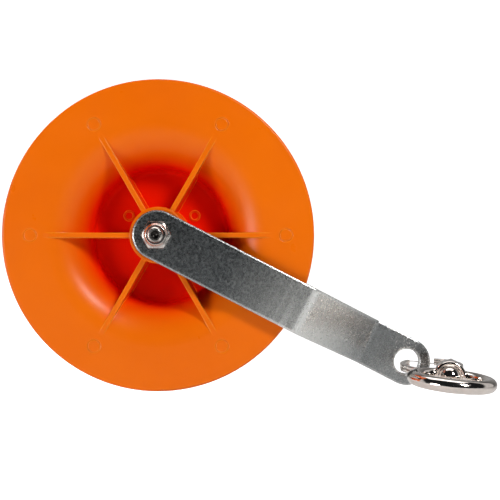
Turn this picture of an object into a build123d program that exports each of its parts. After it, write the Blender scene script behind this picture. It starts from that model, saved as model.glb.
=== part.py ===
from build123d import *
import math
import os

# Hand cable pulley: a wide flared sheave that turns on a bolt between two bent steel straps.
# A split ring through the strap ends carries a swivel with a hang ring.
# Frame: origin on the axle at the wheel's mid-plane, +Z up, the axle along Y, front face towards -Y.
# The wheel stands on its two rims and the strap ends touch the same floor.

# ---------------------------------------------------------------- driving dimensions, in mm
wheel_diameter = 120.65
wheel_half_width = 21.0
wall = 2.5
throat_radius = 27.0
roll_radius = 16.0
hub_radius = 10.9
hub_draft = 0.5
hub_proud = 1.5
rib_count = 6
rib_thickness = 1.9
rib_proud = 0.2
mark_diameter = 5.3
mark_circle_radius = 49.4
mark_line = 0.35
mark_depth = 0.25
peg_circle_radius = 15.5
peg_angle = 31.5
peg_diameter = 4.0

strap_width = 19.05
strap_thickness = 2.0
strap_length = 111.1          # axle to ring hole, centre to centre
strap_drop_angle = 27.2       # below horizontal
strap_first_bend = 64.0
strap_second_bend = 92.3
strap_bend_radius = 4.5
ring_hole_diameter = 10.2

bolt_diameter = 5.95
bolt_length = 60.0
bolt_head_height = 4.0
hex_across_flats = 10.0
nut_hex_height = 4.4
nut_height = 6.0
sleeve_diameter = 9.0
sleeve_bore = 6.3
running_clearance = 0.08
bush_diameter = 12.0
bush_length = 14.0
washer_diameter = 16.0
washer_thickness = 1.0
side_play = 0.2

link_ring_diameter = 25.4
link_coil_width = 2.0
link_coil_thickness = 1.35
link_coil_gap = 0.1
link_tilt = -4.0              # front edge lowered
jog_station = 105.0           # where the crossover sits round the ring
link_shift_x = 10.3           # ring centre from the strap hole
link_shift_z = -2.3

hang_ring_radius = 14.05      # centre line of the wire
hang_ring_wire = 5.2
boss_diameter = 12.2
boss_inner = 4.0              # from the wire's centre line towards the ring's centre
boss_outer = 3.0
swivel_yaw = 8.0
swivel_pitch = 1.0
hang_ring_roll = 5.3
post_diameter = 4.0
eye_radius = 4.3              # centre line of the eye's wire
eye_wire = 2.6
eye_station = -65.0           # where the eye sits round the split ring
eye_roll = 12.0
eye_sag = 0.3

# ---------------------------------------------------------------- derived dimensions
wheel_radius = wheel_diameter / 2
hub_face = wheel_half_width + hub_proud
roll_centre_radius = throat_radius + roll_radius
roll_centre_height = wheel_half_width - roll_radius
strap_inner_face = hub_face + side_play + washer_thickness
strap_outer_face = strap_inner_face + strap_thickness
link_mean_radius = (link_ring_diameter - link_coil_width) / 2
link_pitch = link_coil_thickness + link_coil_gap


def to_front(shape):
    """Turns a shape built along +Z so that it points to the front, -Y."""
    return Rot(90, 0, 0) * shape


def to_rear(shape):
    """Turns a front piece half a turn about the vertical, onto the rear side."""
    return Rot(0, 0, 180) * shape


def tube(outer_radius, inner_radius, low, high):
    """Hollow cylinder on the Z axis between two heights."""
    height = high - low
    body = Pos(0, 0, low) * Cylinder(outer_radius, height, align=(Align.CENTER, Align.CENTER, Align.MIN))
    hole = Pos(0, 0, low) * Cylinder(inner_radius, height, align=(Align.CENTER, Align.CENTER, Align.MIN))
    return body - hole


def disc(radius, low, high):
    """Solid cylinder on the Z axis between two heights."""
    return Pos(0, 0, low) * Cylinder(radius, high - low, align=(Align.CENTER, Align.CENTER, Align.MIN))


# ---------------------------------------------------------------- wheel
def wheel_section():
    """Half section of one wheel half, radius along X and height above the mid-plane along Z."""
    groove_roll = roll_radius - wall
    face = wheel_half_width
    flange_back = face - wall
    roll_x = roll_centre_radius
    roll_z = roll_centre_height
    floor = wall
    root_radius = hub_radius + hub_draft
    rim_round = 0.9
    outline = Polyline(
        (throat_radius, roll_z),
        (throat_radius, floor),
        (root_radius, floor),
        (hub_radius, hub_face),
        (bush_diameter / 2, hub_face),
        (bush_diameter / 2, 0),
        (throat_radius + wall, 0),
        (throat_radius + wall, roll_z),
    )
    groove_arc = CenterArc((roll_x, roll_z), groove_roll, 90, 90)
    rim = Polyline((roll_x, flange_back), (wheel_radius, flange_back), (wheel_radius, face), (roll_x, face))
    face_arc = CenterArc((roll_x, roll_z), roll_radius, 90, 90)
    section = make_face([*outline.edges(), *groove_arc.edges(), *rim.edges(), *face_arc.edges()])
    rim_corners = section.vertices().sort_by(Axis.X)[-2:]
    section = fillet(rim_corners, rim_round)
    hub_corner = section.vertices().sort_by_distance((hub_radius, hub_face, 0))[0]
    section = fillet(hub_corner, 0.6)
    floor_corner = section.vertices().sort_by_distance((throat_radius, floor, 0))[0]
    section = fillet(floor_corner, 2.4)
    return Plane.XZ * section


def rib_blade():
    """One rib in the plane of the axle, from the hub out to the roll of the flange."""
    top = wheel_half_width + rib_proud
    mid_wall = roll_radius - wall / 2
    start = hub_radius - 1.5
    blade = make_face(
        [
            *Polyline(
                (roll_centre_radius - mid_wall, roll_centre_height),
                (roll_centre_radius - mid_wall, wall / 2),
                (start, wall / 2),
                (start, top),
                (roll_centre_radius - 1.0, top),
                (roll_centre_radius + 1.8, wheel_half_width - 0.05),
                (roll_centre_radius + 1.8, roll_centre_height + mid_wall),
                (roll_centre_radius, roll_centre_height + mid_wall),
            ).edges(),
            *CenterArc((roll_centre_radius, roll_centre_height), mid_wall, 90, 90).edges(),
        ]
    )
    return extrude(Plane.XZ * blade, rib_thickness / 2, both=True)


def wheel_half():
    """One moulded half: hub, web, throat, rolled flange, ribs and witness rings of the ejectors."""
    half = revolve(wheel_section(), Axis.Z)
    for index in range(rib_count):
        half += Rot(0, 0, index * 360 / rib_count) * rib_blade()
    mark_radius = mark_diameter / 2
    mark = tube(mark_radius, mark_radius - mark_line, wheel_half_width - mark_depth, wheel_half_width + 1)
    for index in range(rib_count):
        half -= Rot(0, 0, index * 360 / rib_count) * Pos(mark_circle_radius, 0, 0) * mark
    peg_place = Rot(0, 0, peg_angle) * Pos(peg_circle_radius, 0, 0)
    socket_place = Rot(0, 0, 180 - peg_angle) * Pos(peg_circle_radius, 0, 0)
    half += peg_place * disc(peg_diameter / 2, -1.2, 1)
    half -= socket_place * disc(peg_diameter / 2 + 0.1, -1, 1.3)
    for place in (peg_place, socket_place):
        half += place * tube(peg_diameter / 2 + 0.15, peg_diameter / 2 - 0.45, wall - 0.5, wall + 0.3)
    return half


def hub_bush():
    """Plain bush pressed into one end of the hub."""
    top = hub_face - 0.2
    bush = tube(bush_diameter / 2, sleeve_diameter / 2 + running_clearance, top - bush_length, top)
    return chamfer(bush.edges().filter_by(GeomType.CIRCLE), 0.25)


# ---------------------------------------------------------------- straps
def strap():
    """Bent strap along +X, its outer face towards +Z, with the axle at the origin."""
    end_round = strap_width / 2
    mid = strap_thickness / 2
    side = FilletPolyline(
        (-end_round - 1, strap_inner_face + mid),
        (strap_first_bend, strap_inner_face + mid),
        (strap_second_bend, mid),
        (strap_length + end_round + 1, mid),
        radius=strap_bend_radius,
    )
    sheet = extrude(Plane.XZ * trace(side, strap_thickness), end_round + 1, both=True)
    outline = Pos(strap_length / 2, 0, 0) * SlotCenterToCenter(strap_length, strap_width)
    blank = sheet & extrude(outline, strap_outer_face + 1)
    edges = blank.edges().filter_by(Axis.Z, reverse=True)
    long_edges = [edge for edge in edges if not is_cross_line(edge)]
    blank = fillet(long_edges, 0.45)
    blank -= disc(bolt_diameter / 2 + 0.2, strap_inner_face - 5, strap_outer_face + 5)
    hole = Pos(strap_length, 0, 0) * disc(ring_hole_diameter / 2, -5, 10)
    blank -= hole
    rim = blank.edges().filter_by(GeomType.CIRCLE)
    rim = [edge for edge in rim if abs(edge.radius - ring_hole_diameter / 2) < 0.01]
    return chamfer(rim, 0.25)


def is_cross_line(edge):
    """True for the bend lines that run straight across the strap."""
    ends = edge.vertices()
    if len(ends) < 2:
        return False
    span = ends[1].center() - ends[0].center()
    return abs(span.Y) > 0.9 * strap_width and abs(span.X) < 0.5


# ---------------------------------------------------------------- axle
def hex_prism(low, high, chamfer_low, chamfer_high):
    """Hexagon across flats with its corners on the X axis and its ends turned to a cone."""
    corner = hex_across_flats / math.sqrt(3)
    prism = Pos(0, 0, low) * extrude(RegularPolygon(corner, 6), high - low)
    if chamfer_low:
        prism &= turned_cone(corner, low, 1, high)
    if chamfer_high:
        prism &= turned_cone(corner, high, -1, low)
    return prism


def turned_cone(corner, end, inward, far):
    """Turned blank whose end at a height is cut back at 30 degrees."""
    drop = 0.55
    inset = drop / math.tan(math.radians(30))
    outline = Polyline(
        (0, end),
        (corner - inset, end),
        (corner + 0.01, end + inward * drop),
        (corner + 0.01, far + inward),
        (0, far + inward),
        close=True,
    )
    return revolve(Plane.XZ * make_face(outline.edges()), Axis.Z)


def axle_bolt():
    """Hex bolt with its head at the rear and its threaded end at the front."""
    start = -strap_outer_face
    end = start + bolt_length
    head = hex_prism(start - bolt_head_height, start, True, False)
    shank = chamfer(disc(bolt_diameter / 2, start - 0.5, end).edges().group_by(Axis.Z)[-1], 0.6)
    bolt = head + shank
    groove_depth = 0.35
    pitch = 1.0
    groove = make_face(
        Polyline(
            (bolt_diameter / 2 + 0.05, -pitch / 2 + 0.1),
            (bolt_diameter / 2 - groove_depth, 0),
            (bolt_diameter / 2 + 0.05, pitch / 2 - 0.1),
            close=True,
        ).edges()
    )
    thread_groove = revolve(Plane.XZ * groove, Axis.Z)
    for turn in range(3):
        bolt -= Pos(0, 0, end - 1.0 - turn * pitch) * thread_groove
    dimple = Pos(0, 0, end + 0.9) * Sphere(1.6)
    return bolt - dimple


def lock_nut():
    """Hex lock nut with a turned crown that holds a nylon ring."""
    base = strap_outer_face
    bore = bolt_diameter / 2 + 0.03
    body = hex_prism(base, base + nut_hex_height, True, True)
    crown_radius = 4.45
    crown = make_face(
        Polyline(
            (0, base + nut_hex_height - 0.6),
            (crown_radius, base + nut_hex_height - 0.6),
            (crown_radius, base + nut_height - 0.9),
            (crown_radius - 0.75, base + nut_height),
            (0, base + nut_height),
            close=True,
        ).edges()
    )
    nut = body + revolve(Plane.XZ * crown, Axis.Z)
    seat = disc(insert_radius(), base + nut_hex_height - 0.2, base + nut_height - 0.5)
    mouth = disc(insert_radius() - 0.35, base + nut_height - 0.6, base + nut_height + 1)
    return nut - disc(bore, base - 1, base + nut_height + 1) - seat - mouth


def insert_radius():
    """Outer radius of the nylon ring in the lock nut."""
    return 3.85


def lock_nut_insert():
    """Nylon ring held in the crown of the lock nut."""
    base = strap_outer_face
    return tube(insert_radius() - 0.02, bolt_diameter / 2 + 0.02, base + nut_hex_height - 0.18, base + nut_height - 0.52)


def thrust_washer():
    """Flat washer on the sleeve, between the hub and a strap."""
    washer = tube(
        washer_diameter / 2, sleeve_diameter / 2 + 0.1, strap_inner_face - washer_thickness, strap_inner_face
    )
    return chamfer(washer.edges().filter_by(GeomType.CIRCLE), 0.15)


# ---------------------------------------------------------------- ring hardware
def strap_direction(distance):
    """Point on the strap's centre line at a distance from the axle, in the mid-plane."""
    angle = math.radians(strap_drop_angle)
    return Vector(distance * math.cos(angle), 0, -distance * math.sin(angle))


ring_hole = strap_direction(strap_length)
link_centre = ring_hole + Vector(link_shift_x, 0, link_shift_z)
link_normal = Vector(0, math.sin(math.radians(link_tilt)), math.cos(math.radians(link_tilt)))
link_plane = Plane(origin=link_centre, x_dir=(1, 0, 0), z_dir=link_normal)
eye_angle = math.radians(eye_station)
eye_spot = Vector(link_mean_radius * math.cos(eye_angle), link_mean_radius * math.sin(eye_angle), 0)
eye_centre = link_plane.from_local_coords(eye_spot) - Vector(0, 0, eye_sag)

yaw = math.radians(swivel_yaw)
pitch = math.radians(swivel_pitch)
swivel_axis = Vector(math.sin(yaw) * math.cos(pitch), math.cos(yaw) * math.cos(pitch), math.sin(pitch))
collar_low = boss_outer + 0.3
collar_high = collar_low + 1.2
eye_height = collar_high + eye_radius + eye_wire / 2 - 0.7
boss_centre = eye_centre - swivel_axis * eye_height
level_x = Vector(math.cos(yaw), -math.sin(yaw), 0)
swivel_plane = Plane(origin=boss_centre, x_dir=level_x, z_dir=swivel_axis)


def link_ring():
    """Split ring of two flat coils with one crossover."""
    section = RectangleRounded(link_coil_width, link_coil_thickness, 0.4)
    jog = 30.0
    lap = 360 - 2 * jog
    start = Plane.XZ.offset(0)
    profile = start * Pos(link_mean_radius, 0) * section
    lower = Rot(0, 0, jog) * Pos(0, 0, -link_pitch / 2) * revolve(profile, Axis.Z, lap)
    upper = Rot(0, 0, jog) * Pos(0, 0, link_pitch / 2) * revolve(profile, Axis.Z, lap)
    path = Spline(
        ring_point(-jog, -link_pitch / 2),
        ring_point(0, 0),
        ring_point(jog, link_pitch / 2),
        tangents=[ring_tangent(-jog), ring_tangent(jog)],
    )
    first = Plane(origin=path @ 0, x_dir=ring_outward(-jog), z_dir=ring_tangent(-jog))
    crossover = sweep(first * section, path=path, normal=(0, 0, 1))
    ring = lower + upper + crossover
    turned = Rot(0, 0, jog_station) * ring
    return link_plane.location * turned


def ring_point(angle, height):
    """Point on the split ring's centre line."""
    a = math.radians(angle)
    return Vector(link_mean_radius * math.cos(a), link_mean_radius * math.sin(a), height)


def ring_tangent(angle):
    """Direction of the split ring's wire at an angle."""
    a = math.radians(angle)
    return Vector(-math.sin(a), math.cos(a), 0)


def ring_outward(angle):
    """Outward direction at an angle round the split ring."""
    a = math.radians(angle)
    return Vector(math.cos(a), math.sin(a), 0)


def swivel_eye():
    """Forged eye with a collar and a post that is peened to a dome inside the hang ring."""
    eye = Pos(0, 0, eye_height) * Rot(0, 0, eye_roll) * Rot(0, 90, 0) * Torus(eye_radius, eye_wire / 2)
    collar = chamfer(disc(3.6, collar_low, collar_high).edges(), 0.3)
    neck_top = collar_high + 0.8
    neck = Pos(0, 0, (collar_high + neck_top) / 2 - 0.1) * Cone(2.7, 1.7, neck_top - collar_high + 0.4)
    head_base = -boss_inner - 0.8
    post = disc(post_diameter / 2, head_base - 0.5, collar_low + 0.3)
    dome_radius = 3.7
    dome_height = 2.2
    ball = (dome_radius**2 + dome_height**2) / (2 * dome_height)
    dome = Pos(0, 0, head_base - dome_height + ball) * Sphere(ball)
    dome &= disc(ball, head_base - dome_height - 1, head_base)
    return swivel_plane.location * (eye + collar + neck + post + dome)


def swivel_washer():
    """Washer between the peened head and the boss."""
    top = -boss_inner - 0.15
    washer = tube(4.6, post_diameter / 2 + 0.02, top - 0.6, top)
    rims = washer.edges().filter_by(GeomType.CIRCLE).group_by(SortBy.RADIUS)[-1]
    return swivel_plane.location * chamfer(rims, 0.2)


def hang_ring():
    """Round ring with a bored boss on its wire."""
    ring = Pos(0, 0, -hang_ring_radius) * Rot(90, 0, 0) * Torus(hang_ring_radius, hang_ring_wire / 2)
    boss = disc(boss_diameter / 2, -boss_inner, boss_outer)
    boss = fillet(boss.edges().filter_by(GeomType.CIRCLE), 0.9)
    body = ring + boss
    seams = [edge for edge in body.edges() if edge.geom_type not in (GeomType.CIRCLE, GeomType.LINE)]
    body = fillet(seams, 1.6)
    body -= disc(post_diameter / 2 + running_clearance, -10, 10)
    return swivel_plane.location * Rot(0, 0, hang_ring_roll) * body


# ---------------------------------------------------------------- assembly
wheel_half_front = to_front(wheel_half())
hub_bush_front = to_front(hub_bush())
strap_front = Rot(0, strap_drop_angle, 0) * to_front(strap())
thrust_washer_front = to_front(thrust_washer())
sleeve_half = strap_inner_face

pieces = {
    "wheel_half_front": wheel_half_front,
    "wheel_half_rear": to_rear(wheel_half_front),
    "hub_bush_front": hub_bush_front,
    "hub_bush_rear": to_rear(hub_bush_front),
    "axle_sleeve": to_front(tube(sleeve_diameter / 2, sleeve_bore / 2, -sleeve_half, sleeve_half)),
    "thrust_washer_front": thrust_washer_front,
    "thrust_washer_rear": to_rear(thrust_washer_front),
    "axle_bolt": to_front(axle_bolt()),
    "lock_nut": to_front(lock_nut()),
    "lock_nut_insert": to_front(lock_nut_insert()),
    "strap_front": strap_front,
    "strap_rear": mirror(strap_front, about=Plane.XZ),
    "link_ring": link_ring(),
    "swivel_eye": swivel_eye(),
    "swivel_washer": swivel_washer(),
    "hang_ring": hang_ring(),
}

os.makedirs("parts", exist_ok=True)
for name, shape in pieces.items():
    export_step(shape, f"parts/{name}.step")
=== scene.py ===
import math

import bpy
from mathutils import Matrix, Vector


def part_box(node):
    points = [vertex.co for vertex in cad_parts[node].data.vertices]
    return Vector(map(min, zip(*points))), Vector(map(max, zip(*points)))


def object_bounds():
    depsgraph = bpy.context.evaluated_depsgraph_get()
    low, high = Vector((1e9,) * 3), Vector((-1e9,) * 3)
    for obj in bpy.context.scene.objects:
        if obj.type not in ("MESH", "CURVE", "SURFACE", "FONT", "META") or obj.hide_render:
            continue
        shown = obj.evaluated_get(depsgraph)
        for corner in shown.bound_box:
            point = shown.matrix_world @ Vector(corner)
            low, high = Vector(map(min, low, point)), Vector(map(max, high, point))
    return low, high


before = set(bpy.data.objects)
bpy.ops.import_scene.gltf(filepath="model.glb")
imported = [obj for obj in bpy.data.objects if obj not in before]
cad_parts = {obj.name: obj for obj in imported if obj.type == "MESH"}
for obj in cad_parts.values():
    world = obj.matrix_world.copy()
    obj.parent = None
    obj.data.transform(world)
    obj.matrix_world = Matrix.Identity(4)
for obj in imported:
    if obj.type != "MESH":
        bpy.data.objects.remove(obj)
cad_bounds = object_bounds()

# Colours are linear RGBA; lengths are metres and angles degrees.
ORANGE = (0.86, 0.152, 0.0002, 1)
ORANGE_DEEP = (0.80, 0.128, 0.0001, 1)
ORANGE_PALE = (0.90, 0.172, 0.0003, 1)
# painted shade: dark red for deep inside the bell
ORANGE_BELL_PAINTED_SHADE = (0.89, 0.013, 0.0001, 1)
ORANGE_SCUFF = (0.93, 0.30, 0.04, 1)
# painted highlight: paler orange for the plastic's sharp edges
ORANGE_PAINTED_EDGE_HIGHLIGHT = (1.0, 0.32, 0.015, 1)
ZINC = (0.34, 0.35, 0.355, 1)
ZINC_DARK = (0.130, 0.146, 0.153, 1)
ZINC_CLOUD = (0.22, 0.23, 0.23, 1)
ZINC_SPECK = (0.46, 0.47, 0.46, 1)
# painted sheen: paler zinc around the strap's bend
ZINC_PAINTED_SHEEN = (0.78, 0.78, 0.75, 1)
ZINC_PRESS_LINE = (0.80, 0.80, 0.78, 1)
# painted highlight: near white for the strap's edges
ZINC_PAINTED_EDGE_HIGHLIGHT = (0.98, 0.98, 0.96, 1)
BOLT_PALE = (0.84, 0.79, 0.74, 1)
BOLT_DARK = (0.24, 0.22, 0.20, 1)
# painted highlight: pale colour for the steel parts' sharp edges
BOLT_PAINTED_EDGE_HIGHLIGHT = (0.95, 0.92, 0.88, 1)
# painted shade: dark colour round the bolt end's centre mark
BOLT_PAINTED_SHADE = (0.03, 0.027, 0.025, 1)
NICKEL = (0.90, 0.82, 0.76, 1)
NICKEL_DARK = (0.62, 0.55, 0.50, 1)
NYLON_DARK = (0.012, 0.012, 0.015, 1)
NYLON_PALE = (0.05, 0.05, 0.055, 1)
BUSH_DARK = (0.58, 0.55, 0.48, 1)
BUSH_PALE = (0.72, 0.70, 0.64, 1)
PAPER_DARK = (0.74, 0.74, 0.74, 1)
PAPER_PALE = (0.76, 0.76, 0.76, 1)
TENT_WHITE = (0.56, 0.56, 0.56, 1)
TENT_OPENING = (0.012, 0.013, 0.014, 1)
WHITE = (1, 1, 1, 1)

STRAP_TILT = 27.2             # strap below horizontal
BELL_FLOOR = 0.46             # share of the flange's distance from mid-plane where the bell's painted red shade is strongest
BELL_TOP = 0.95               # and where the flange's orange is back
BELL_INNER = 0.027            # the same, outward from the axle
BELL_OUTER = 0.040
CENTRE_SHADE_INNER = 0.0014          # painted shade: dark spot round the bolt's centre mark
CENTRE_SHADE_OUTER = 0.0019
RING_SET_DROP = 0.066         # room under the wheel for the ring set to hang
PAPER_GLOW = 0.82             # what the camera sees on top of the paper's own light
OPENING_AXIS = (0, -0.88, 0.475)
OPENING_EDGE = (0.12, 0.24)   # where the tent's dark opening begins and is full, as a cosine

CAMERA_PLACE = (0.0355, -0.421, -0.0057)
CAMERA_LENS = 74.7
LIGHTS_AIM = (0.03, 0, 0)
# name, place, size, power in watts
LIGHTS = [
    ("key_right", (0.58, -0.80, 0.66), (0.20, 0.36), 8.2),
    ("fill_left", (-0.80, -0.72, -0.04), (0.5, 0.3), 5.7),
    ("top", (0.05, 0.05, 1.1), (1.2, 0.6), 4.2),
    ("rear_fill", (-0.75, 0.8, 0.4), (0.5, 0.5), 7.0),
]


# ---------------------------------------------------------------- material building
class Recipe:
    """A node material under construction: short calls that add nodes and link them."""

    def __init__(self, name):
        self.material = bpy.data.materials.new(name)
        self.material.use_nodes = True
        self.nodes = self.material.node_tree.nodes
        self.links = self.material.node_tree.links
        self.shader = self.nodes["Principled BSDF"]
        self.coordinates = self.nodes.new("ShaderNodeTexCoord")

    def add(self, kind, **values):
        node = self.nodes.new(kind)
        for key, value in values.items():
            if key in node.inputs:
                node.inputs[key].default_value = value
            else:
                setattr(node, key, value)
        return node

    def link(self, source, target):
        self.links.new(source, target)

    def place(self, turn=(0, 0, 0), scale=(1, 1, 1)):
        """Object coordinates, turned and scaled so that a grain can follow a part."""
        mapping = self.add("ShaderNodeMapping", vector_type="TEXTURE")
        mapping.inputs["Rotation"].default_value = turn
        mapping.inputs["Scale"].default_value = scale
        self.link(self.coordinates.outputs["Object"], mapping.inputs["Vector"])
        return mapping.outputs["Vector"]

    def noise(self, place, scale, detail=4.0, roughness=0.5):
        node = self.add("ShaderNodeTexNoise", Scale=scale, Detail=detail, Roughness=roughness)
        self.link(place, node.inputs["Vector"])
        return node.outputs["Fac"]

    def ramp(self, factor, low, high, low_colour, high_colour):
        node = self.add("ShaderNodeValToRGB")
        first, last = node.color_ramp.elements
        first.position = low
        first.color = low_colour
        last.position = high
        last.color = high_colour
        self.link(factor, node.inputs["Fac"])
        return node.outputs["Color"]

    def span(self, factor, low, high, source_low=0.3, source_high=0.7):
        node = self.add("ShaderNodeMapRange")
        node.inputs["From Min"].default_value = source_low
        node.inputs["From Max"].default_value = source_high
        node.inputs["To Min"].default_value = low
        node.inputs["To Max"].default_value = high
        self.link(factor, node.inputs["Value"])
        return node.outputs["Result"]

    def mix(self, factor, first, second):
        """Blends two colours; each argument is a value or a node's output."""
        node = self.add("ShaderNodeMix", data_type="RGBA")
        sockets = (node.inputs[0], node.inputs[6], node.inputs[7])
        for socket, value in zip(sockets, (factor, first, second)):
            if isinstance(value, bpy.types.NodeSocket):
                self.link(value, socket)
            else:
                socket.default_value = value
        return node.outputs[2]

    def bump(self, height, strength, distance, below=None):
        node = self.add("ShaderNodeBump", Strength=strength, Distance=distance)
        self.link(height, node.inputs["Height"])
        if below is not None:
            self.link(below, node.inputs["Normal"])
        return node.outputs["Normal"]

    def rolled_edge(self, radius):
        """A mask, 1 on sharp outer edges and 0 on open faces, and the rounded edge's normal."""
        bevel = self.add("ShaderNodeBevel", samples=12, Radius=radius)
        geometry = self.add("ShaderNodeNewGeometry")
        dot = self.add("ShaderNodeVectorMath", operation="DOT_PRODUCT")
        self.link(bevel.outputs["Normal"], dot.inputs[0])
        self.link(geometry.outputs["Normal"], dot.inputs[1])
        return self.span(dot.outputs["Value"], 1, 0, 0.88, 0.998), bevel.outputs["Normal"]

    def product(self, first, second):
        node = self.add("ShaderNodeMath", operation="MULTIPLY")
        self.link(first, node.inputs[0])
        self.link(second, node.inputs[1])
        return node.outputs[0]

    def from_axle(self):
        """Distance from the axle's line in metres, and how far the surface faces away from that line."""
        flat = self.add("ShaderNodeVectorMath", operation="MULTIPLY")
        flat.inputs[1].default_value = (1, 0, 1)
        self.link(self.place(), flat.inputs[0])
        length = self.add("ShaderNodeVectorMath", operation="LENGTH")
        self.link(flat.outputs[0], length.inputs[0])
        radial = self.add("ShaderNodeVectorMath", operation="NORMALIZE")
        self.link(flat.outputs[0], radial.inputs[0])
        faces = self.add("ShaderNodeVectorMath", operation="DOT_PRODUCT")
        self.link(radial.outputs[0], faces.inputs[0])
        self.link(self.coordinates.outputs["Normal"], faces.inputs[1])
        return length.outputs["Value"], faces.outputs["Value"]

    def finish(self, colour=None, roughness=None, normal=None, **shader):
        for target, source in (("Base Color", colour), ("Roughness", roughness), ("Normal", normal)):
            if source is not None:
                self.link(source, self.shader.inputs[target])
        for key, value in shader.items():
            self.shader.inputs[key.replace("_", " ")].default_value = value
        return self.material


def orange_plastic():
    """Satin moulded plastic, painted redder deep inside the bell as painted shade, with painted edge
    highlights, grain and faint scuffs.
    """
    r = Recipe("orange_moulded_plastic")
    flat = r.place()
    drift = r.noise(flat, 22, 3)
    base = r.ramp(drift, 0.32, 0.68, ORANGE_DEEP, ORANGE_PALE)
    tone = r.mix(0.55, base, ORANGE)
    grain = r.noise(flat, 2600, 2)
    orange_peel = r.noise(flat, 420, 2)
    scuff = r.noise(r.place(turn=(0, 0.6, 0), scale=(0.12, 1, 1)), 900, 5, 0.7)
    scuff_mask = r.span(scuff, 0, 0.10, 0.62, 0.78)
    colour = r.mix(scuff_mask, tone, ORANGE_SCUFF)
    # Painted shade: deep in the bell the orange is painted dark red.
    bell_shade = bell_painted_shade(r)
    colour = r.mix(bell_shade, colour, ORANGE_BELL_PAINTED_SHADE)
    # Painted highlight: sharp edges are painted paler orange.
    edge_highlight, rounded = r.rolled_edge(0.0006)
    colour = r.mix(r.span(edge_highlight, 0, 0.7, 0, 1), colour, ORANGE_PAINTED_EDGE_HIGHLIGHT)
    rough = r.span(r.noise(flat, 60, 4), 0.27, 0.34)
    normal = r.bump(grain, 0.10, 0.00004, rounded)
    normal = r.bump(orange_peel, 0.06, 0.0002, normal)
    # Painted shade also fades the specular deep in the bell.
    r.link(r.span(bell_shade, 0.25, 0.03, 0, 1), r.shader.inputs["Specular IOR Level"])
    return r.finish(colour, rough, normal, IOR=1.46)


def bell_painted_shade(r):
    """1 deep inside the wheel's bell, where painted shade turns the plastic dark red and fades its
    specular; 0 on flange, rib tops, hub face and cable groove.
    """
    flange = abs(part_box("wheel_half_front")[0].y)
    split = r.add("ShaderNodeSeparateXYZ")
    r.link(r.place(), split.inputs[0])
    height = r.add("ShaderNodeMath", operation="ABSOLUTE")
    r.link(split.outputs["Y"], height.inputs[0])
    deep = r.span(height.outputs[0], 1, 0, flange * BELL_FLOOR, flange * BELL_TOP)
    from_axle, outward = r.from_axle()
    inside = r.span(from_axle, 1, 0, BELL_INNER, BELL_OUTER)
    not_groove = r.span(outward, 1, 0, 0.0, 0.35)
    return r.product(r.product(deep, inside), not_groove)


def plated_strap():
    """Zinc-plated strap: dark speckled plating, with a painted sheen near the bend and painted
    highlights on the rolled edges.
    """
    r = Recipe("zinc_plated_strap")
    tilt = math.radians(STRAP_TILT)
    flat = r.place()
    along = r.place(turn=(0, tilt, 0), scale=(1, 1, 0.04))
    blotch = r.noise(flat, 900, 5, 0.66)
    cloud = r.noise(along, 260, 4, 0.6)
    speck = r.noise(flat, 1900, 3, 0.65)
    tool_lines = r.noise(along, 1500, 3, 0.6)
    painted_sheen, lines = sheen_and_press_lines(r, tilt)
    base = r.ramp(r.mix(0.55, blotch, speck), 0.36, 0.64, ZINC_DARK, ZINC)
    base = r.mix(r.span(cloud, 0.0, 0.35), base, ZINC_CLOUD)
    base = r.mix(r.span(speck, 0, 0.65, 0.56, 0.70), base, ZINC_SPECK)
    # Painted sheen: the plating is painted paler around the bend, where the sloped strap catches
    # reflected light.
    base = r.mix(painted_sheen, base, ZINC_PAINTED_SHEEN)
    base = r.mix(lines, base, ZINC_PRESS_LINE)
    # Painted highlight: the strap's edges are painted near white and made less metallic.
    edge_highlight, rounded = r.rolled_edge(0.0013)
    colour = r.mix(edge_highlight, base, ZINC_PAINTED_EDGE_HIGHLIGHT)
    r.link(r.span(edge_highlight, 1, 0.2, 0, 1), r.shader.inputs["Metallic"])
    rough = r.span(blotch, 0.20, 0.32, 0.35, 0.65)
    normal = r.bump(tool_lines, 0.20, 0.00005, rounded)
    normal = r.bump(speck, 0.06, 0.00005, normal)
    return r.finish(colour, rough, normal)


def sheen_and_press_lines(r, tilt):
    """Painted sheen, paler where the strap's slope near the bend catches reflected light, and the
    press's cross lines before the first bend.
    """
    split = r.add("ShaderNodeSeparateXYZ")
    r.link(r.place(turn=(0, tilt, 0)), split.inputs[0])
    station = split.outputs["X"]
    rise = r.span(station, 0, 1, 0.030, 0.068)
    fall = r.span(station, 1.0, 0.16, 0.066, 0.092)
    lines = r.noise(r.place(turn=(0, tilt, 0), scale=(0.8, 40, 40)), 1100, 1, 0.5)
    near_bend = r.product(r.span(station, 0, 1, 0.046, 0.058), r.span(station, 1, 0, 0.064, 0.070))
    return r.product(rise, fall), r.product(near_bend, r.span(lines, 0, 1.0, 0.44, 0.60))


def bolt_steel(name, shaded_centre=False):
    """Bright zinc on turned steel, with darker stains and painted edge highlights; a bolt's end gets
    painted shade round its centre mark.
    """
    r = Recipe(name)
    flat = r.place()
    stain = r.noise(flat, 420, 5, 0.6)
    fine = r.noise(flat, 3000, 3)
    base = r.ramp(stain, 0.38, 0.60, BOLT_DARK, BOLT_PALE)
    # Painted highlight: sharp edges are painted pale.
    edge_highlight, rounded = r.rolled_edge(0.0003)
    colour = r.mix(edge_highlight, base, BOLT_PAINTED_EDGE_HIGHLIGHT)
    if shaded_centre:
        # Painted shade: the bolt's end is painted dark round its centre mark.
        centre = r.span(r.from_axle()[0], 1, 0, CENTRE_SHADE_INNER, CENTRE_SHADE_OUTER)
        colour = r.mix(centre, colour, BOLT_PAINTED_SHADE)
    rough = r.span(stain, 0.14, 0.30)
    normal = r.bump(fine, 0.18, 0.00004, rounded)
    normal = r.bump(stain, 0.12, 0.0002, normal)
    return r.finish(colour, rough, normal, Metallic=1.0)


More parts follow.
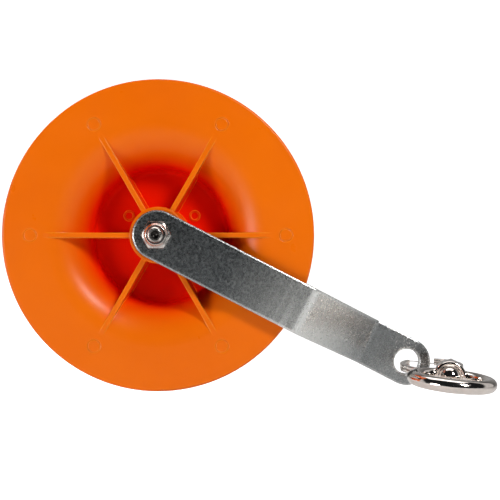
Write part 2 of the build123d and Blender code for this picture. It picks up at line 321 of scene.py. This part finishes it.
def polished_nickel():
    """Polished plate over a casting: near mirror, with slow waves, pits and hairline marks."""
    r = Recipe("polished_nickel_plate")
    flat = r.place()
    wave = r.noise(flat, 120, 2)
    haze = r.noise(flat, 420, 4, 0.6)
    hairline = r.noise(r.place(turn=(0.4, 0.3, 0.8), scale=(0.05, 1, 1)), 2600, 3, 0.7)
    base = r.ramp(haze, 0.30, 0.75, NICKEL_DARK, NICKEL)
    colour = r.mix(0.55, base, NICKEL)
    rough = r.span(r.mix(0.4, haze, hairline), 0.04, 0.15, 0.35, 0.7)
    normal = r.bump(wave, 0.18, 0.0004)
    normal = r.bump(hairline, 0.05, 0.00003, normal)
    return r.finish(colour, rough, normal, Metallic=1.0)


def nylon():
    """Dark nylon locking ring with a cut, fibrous face."""
    r = Recipe("nylon_insert")
    flat = r.place()
    tone = r.noise(flat, 900, 4, 0.6)
    colour = r.ramp(tone, 0.3, 0.7, NYLON_DARK, NYLON_PALE)
    normal = r.bump(r.noise(flat, 2600, 3), 0.3, 0.0001)
    return r.finish(colour, r.span(tone, 0.4, 0.62), normal)


def bush_plastic():
    """Off-white bearing plastic with turned rings."""
    r = Recipe("bush_plastic")
    flat = r.place()
    tone = r.noise(flat, 500, 4, 0.5)
    colour = r.ramp(tone, 0.3, 0.7, BUSH_DARK, BUSH_PALE)
    normal = r.bump(r.noise(flat, 2200, 2), 0.2, 0.00006)
    return r.finish(colour, r.span(tone, 0.35, 0.5), normal)


def studio_paper():
    """Matt studio paper, a little brighter to the eye than to the object that stands on it."""
    r = Recipe("studio_paper")
    tone = r.noise(r.place(), 60, 3)
    colour = r.ramp(tone, 0.3, 0.7, PAPER_DARK, PAPER_PALE)
    path = r.add("ShaderNodeLightPath")
    glow = r.span(path.outputs["Is Camera Ray"], 0, PAPER_GLOW, 0, 1)
    r.link(glow, r.shader.inputs["Emission Strength"])
    rough = r.span(tone, 0.85, 0.95)
    return r.finish(colour, rough, r.bump(tone, 0.05, 0.0002), Emission_Color=WHITE)


def dress(material, names):
    """Gives CAD nodes one material."""
    for name in names:
        for material_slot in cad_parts[name].material_slots:
            material_slot.material = material


# ---------------------------------------------------------------- stage, light and camera
def floor_sweep():
    """Pale floor below the hanging ring set, rising in a smooth sweep behind the object."""
    floor_z = cad_bounds[0][2] - RING_SET_DROP
    width = 2.4
    front = -1.6
    turn_start = 0.9
    radius = 0.6
    wall_height = 2.6
    turn_steps = 12
    line = [(front, floor_z), (turn_start, floor_z)]
    for step in range(1, turn_steps + 1):
        angle = math.radians(90 * step / turn_steps)
        line.append((turn_start + radius * math.sin(angle), floor_z + radius * (1 - math.cos(angle))))
    line.append((turn_start + radius, floor_z + wall_height))
    verts = [(x, y, z) for y, z in line for x in (-width, width)]
    faces = [(2 * i, 2 * i + 1, 2 * i + 3, 2 * i + 2) for i in range(len(line) - 1)]
    mesh = bpy.data.meshes.new("studio_floor")
    mesh.from_pydata(verts, [], faces)
    for face in mesh.polygons:
        face.use_smooth = True
    mesh.materials.append(studio_paper())
    floor = bpy.data.objects.new("studio_floor", mesh)
    bpy.context.scene.collection.objects.link(floor)


def soft_light(name, place, size, power):
    """Rectangular softbox aimed at the object."""
    lamp = bpy.data.lights.new(name, "AREA")
    lamp.shape = "RECTANGLE"
    lamp.size, lamp.size_y = size
    lamp.energy = power
    box = bpy.data.objects.new(name, lamp)
    box.location = place
    box.rotation_euler = (Vector(LIGHTS_AIM) - Vector(place)).to_track_quat("-Z", "Y").to_euler()
    bpy.context.scene.collection.objects.link(box)


def studio_world():
    """White studio that reflects as a tent with a dark opening on the camera's side."""
    world = bpy.data.worlds.new("studio_world")
    world.use_nodes = True
    bpy.context.scene.world = world
    nodes = world.node_tree.nodes
    links = world.node_tree.links
    coordinates = nodes.new("ShaderNodeTexCoord")
    dot = nodes.new("ShaderNodeVectorMath")
    dot.operation = "DOT_PRODUCT"
    dot.inputs[1].default_value = OPENING_AXIS
    links.new(coordinates.outputs["Generated"], dot.inputs[0])
    ramp = nodes.new("ShaderNodeValToRGB")
    first, last = ramp.color_ramp.elements
    first.position, last.position = OPENING_EDGE
    first.color = TENT_WHITE
    last.color = TENT_OPENING
    links.new(dot.outputs["Value"], ramp.inputs["Fac"])
    links.new(ramp.outputs["Color"], nodes["Background"].inputs["Color"])
    backdrop = nodes.new("ShaderNodeBackground")
    backdrop.inputs["Color"].default_value = WHITE
    path = nodes.new("ShaderNodeLightPath")
    choose = nodes.new("ShaderNodeMixShader")
    links.new(path.outputs["Is Camera Ray"], choose.inputs[0])
    links.new(nodes["Background"].outputs[0], choose.inputs[1])
    links.new(backdrop.outputs[0], choose.inputs[2])
    links.new(choose.outputs[0], nodes["World Output"].inputs["Surface"])


def camera():
    """Level camera in front of the wheel, right of its axle, looking along +Y."""
    data = bpy.data.cameras.new("camera")
    data.lens = CAMERA_LENS
    data.sensor_width = 36
    data.clip_start = 0.01
    eye = bpy.data.objects.new("camera", data)
    eye.location = CAMERA_PLACE
    eye.rotation_euler = (math.radians(90), 0, 0)
    bpy.context.scene.collection.objects.link(eye)
    bpy.context.scene.camera = eye


# ---------------------------------------------------------------- assembly
dress(orange_plastic(), ["wheel_half_front", "wheel_half_rear"])
dress(plated_strap(), ["strap_front", "strap_rear"])
# the bolt's end gets painted shade round its centre mark
dress(bolt_steel("bolt_steel", shaded_centre=True), ["axle_bolt"])
dress(bolt_steel("nut_steel"), ["lock_nut", "axle_sleeve", "thrust_washer_front", "thrust_washer_rear"])
dress(polished_nickel(), ["link_ring", "swivel_eye", "swivel_washer", "hang_ring"])
dress(nylon(), ["lock_nut_insert"])
dress(bush_plastic(), ["hub_bush_front", "hub_bush_rear"])

bpy.context.scene.view_settings.view_transform = "Standard"
floor_sweep()
studio_world()
for light in LIGHTS:
    soft_light(*light)
camera()
